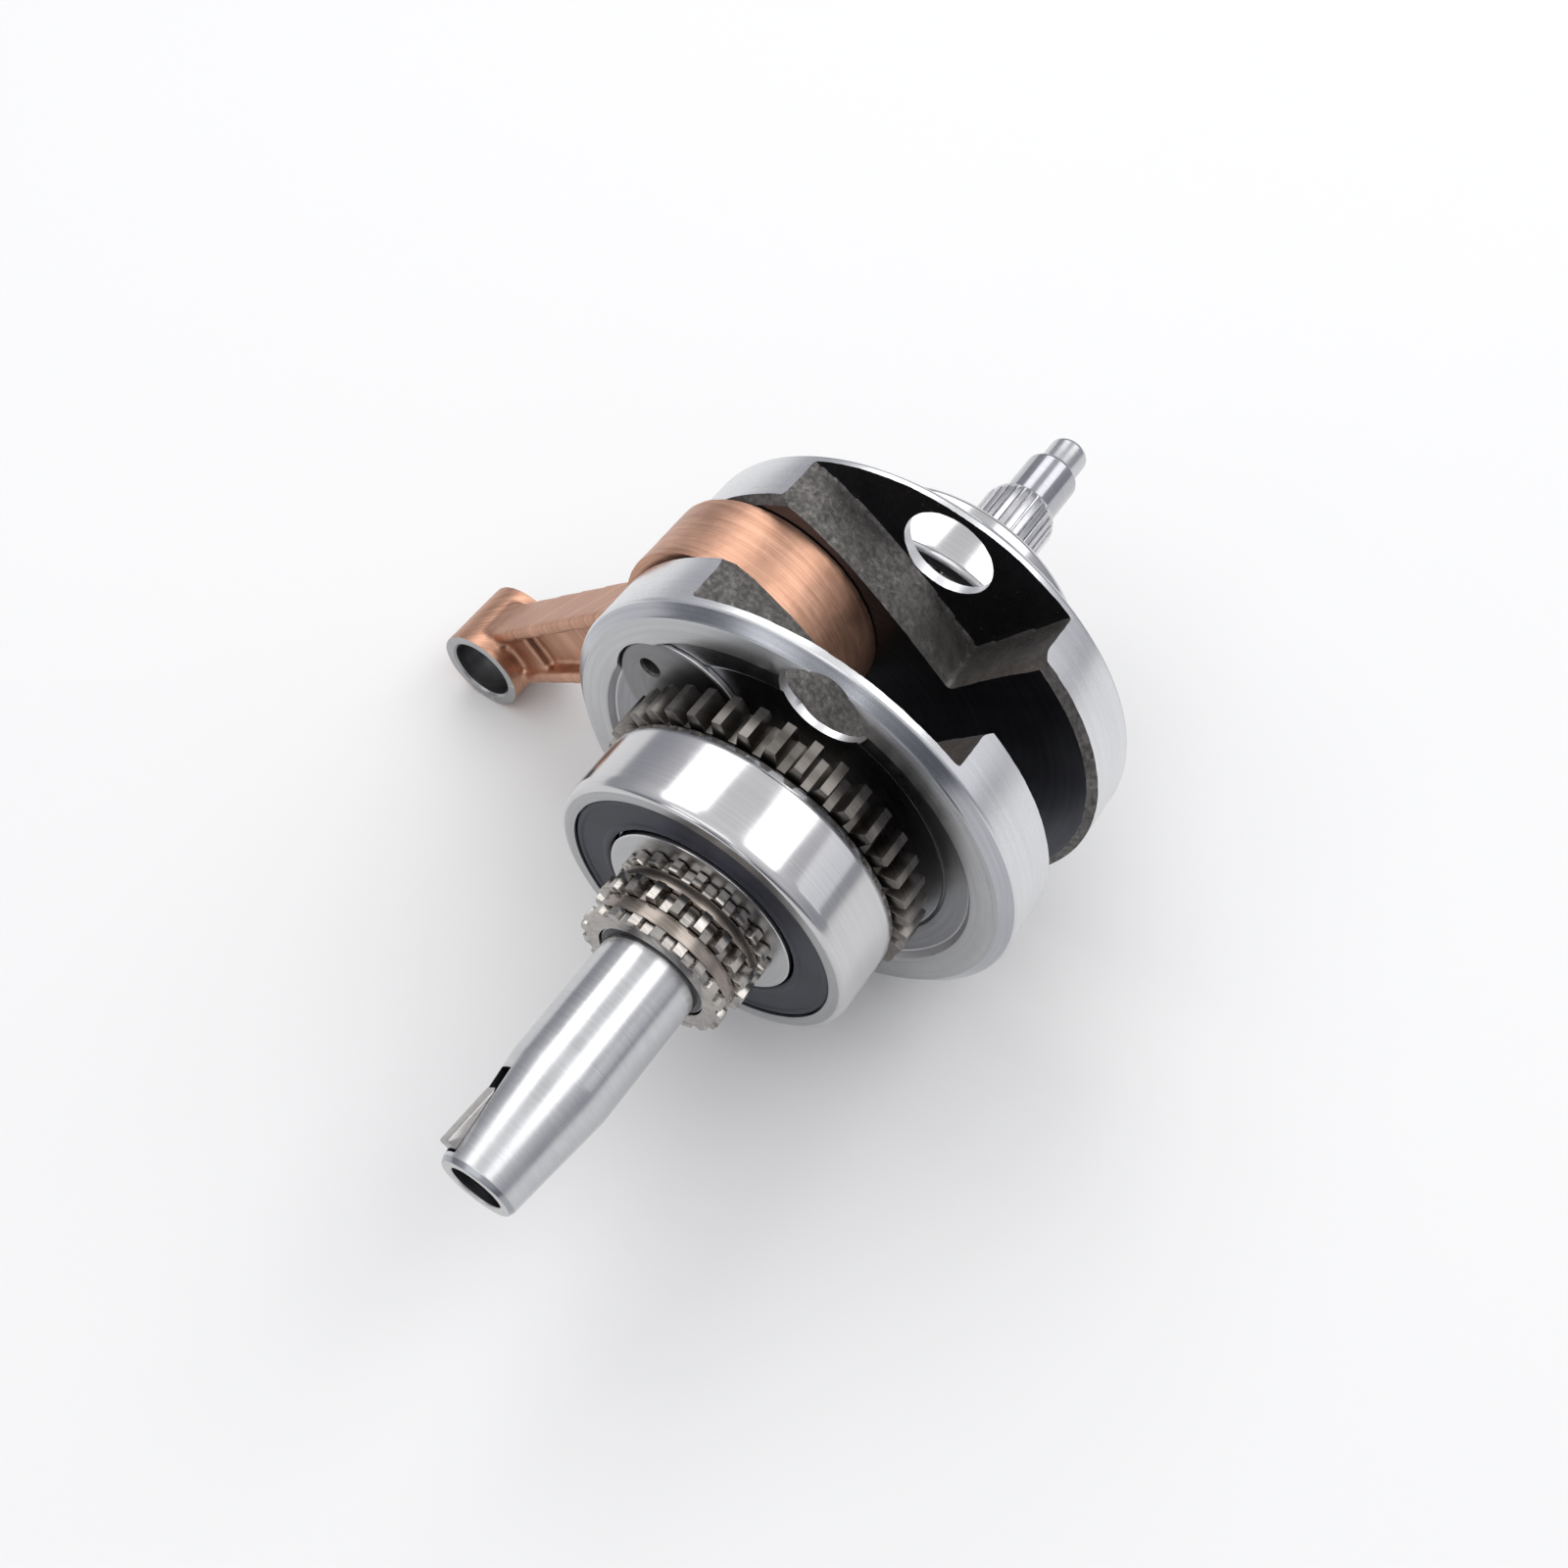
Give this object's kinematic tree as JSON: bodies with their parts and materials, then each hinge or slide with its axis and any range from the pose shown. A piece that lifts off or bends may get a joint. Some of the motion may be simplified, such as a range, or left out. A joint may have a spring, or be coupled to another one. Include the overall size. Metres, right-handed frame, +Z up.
{
  "type": "single-cylinder engine crankshaft",
  "caption": "Pressed-up crankshaft with round full webs, roller-bearing connecting rod, two ball bearings, balancer gear, small sprockets, a tapered end and a splined end.",
  "frame": {"origin": "middle of the bounding box, on the flat surface that the webs and the rod's small end lie on", "axes": "+Y along the crankshaft from the tapered end to the splined end, +Z up, +X away from the connecting rod"},
  "size_m": [0.1622, 0.2162, 0.1056],
  "materials": {
    "ground_steel": "turned and ground steel on machined faces, dark forged scale in the pockets",
    "bearing_steel": "ground and polished bearing steel",
    "dark_steel": "heat-treated dark steel with brown glints",
    "copper_plated_steel": "copper-plated forging, satin",
    "seal_rubber": "moulded nitrile rubber",
    "cage_steel": "pressed steel"
  },
  "bodies": {
    "crank": {"left_half_crank": "ground_steel", "right_half_crank": "ground_steel", "crankpin": "dark_steel", "woodruff_key": "dark_steel", "balancer_gear": "dark_steel", "oil_pump_sprocket": "dark_steel", "timing_sprocket": "dark_steel", "rear_drive_sprocket": "dark_steel", "front_spacer_ring": "dark_steel", "rear_spacer_ring": "dark_steel", "front_bearing_inner_ring": "bearing_steel", "rear_bearing_inner_ring": "bearing_steel"},
    "rod": {"connecting_rod": "copper_plated_steel"},
    "roller_set": {"big_end_roller_cage": "cage_steel", "big_end_roller_1": "bearing_steel", "big_end_roller_2": "bearing_steel", "big_end_roller_3": "bearing_steel", "big_end_roller_4": "bearing_steel", "big_end_roller_5": "bearing_steel", "big_end_roller_6": "bearing_steel", "big_end_roller_7": "bearing_steel", "big_end_roller_8": "bearing_steel", "big_end_roller_9": "bearing_steel", "big_end_roller_10": "bearing_steel", "big_end_roller_11": "bearing_steel", "big_end_roller_12": "bearing_steel", "big_end_roller_13": "bearing_steel", "big_end_roller_14": "bearing_steel"},
    "front_outer": {"front_bearing_outer_ring": "bearing_steel", "front_bearing_front_seal": "seal_rubber", "front_bearing_rear_seal": "seal_rubber"},
    "front_balls": {"front_bearing_ball_cage": "cage_steel", "front_bearing_ball_1": "bearing_steel", "front_bearing_ball_2": "bearing_steel", "front_bearing_ball_3": "bearing_steel", "front_bearing_ball_4": "bearing_steel", "front_bearing_ball_5": "bearing_steel", "front_bearing_ball_6": "bearing_steel", "front_bearing_ball_7": "bearing_steel", "front_bearing_ball_8": "bearing_steel"},
    "rear_outer": {"rear_bearing_outer_ring": "bearing_steel"},
    "rear_balls": {"rear_bearing_ball_cage": "cage_steel", "rear_bearing_ball_1": "bearing_steel", "rear_bearing_ball_2": "bearing_steel", "rear_bearing_ball_3": "bearing_steel", "rear_bearing_ball_4": "bearing_steel", "rear_bearing_ball_5": "bearing_steel", "rear_bearing_ball_6": "bearing_steel", "rear_bearing_ball_7": "bearing_steel"}
  },
  "joints": [
    {"name": "rod_swing", "type": "hinge", "parent": "crank", "child": "rod", "pos_m": [0.00422, 0.0121, 0.07064], "axis": [0, 1, 0], "continuous": true},
    {"name": "roller_set_spin", "type": "hinge", "parent": "crank", "child": "roller_set", "pos_m": [0.00422, 0.0121, 0.07064], "axis": [0, 1, 0], "continuous": true},
    {"name": "front_bearing_spin", "type": "hinge", "parent": "crank", "child": "front_outer", "pos_m": [0.02834, -0.03205, 0.0528], "axis": [0, 1, 0], "continuous": true},
    {"name": "front_balls_spin", "type": "hinge", "parent": "crank", "child": "front_balls", "pos_m": [0.02834, -0.03205, 0.0528], "axis": [0, 1, 0], "continuous": true},
    {"name": "rear_bearing_spin", "type": "hinge", "parent": "crank", "child": "rear_outer", "pos_m": [0.02834, 0.04695, 0.0528], "axis": [0, 1, 0], "continuous": true},
    {"name": "rear_balls_spin", "type": "hinge", "parent": "crank", "child": "rear_balls", "pos_m": [0.02834, 0.04695, 0.0528], "axis": [0, 1, 0], "continuous": true}
  ],
  "couplings": [
    {"joint": "roller_set_spin", "follows": "rod_swing", "ratio": 0.556},
    {"joint": "front_balls_spin", "follows": "front_bearing_spin", "ratio": 0.617},
    {"joint": "rear_balls_spin", "follows": "rear_bearing_spin", "ratio": 0.631}
  ]
}
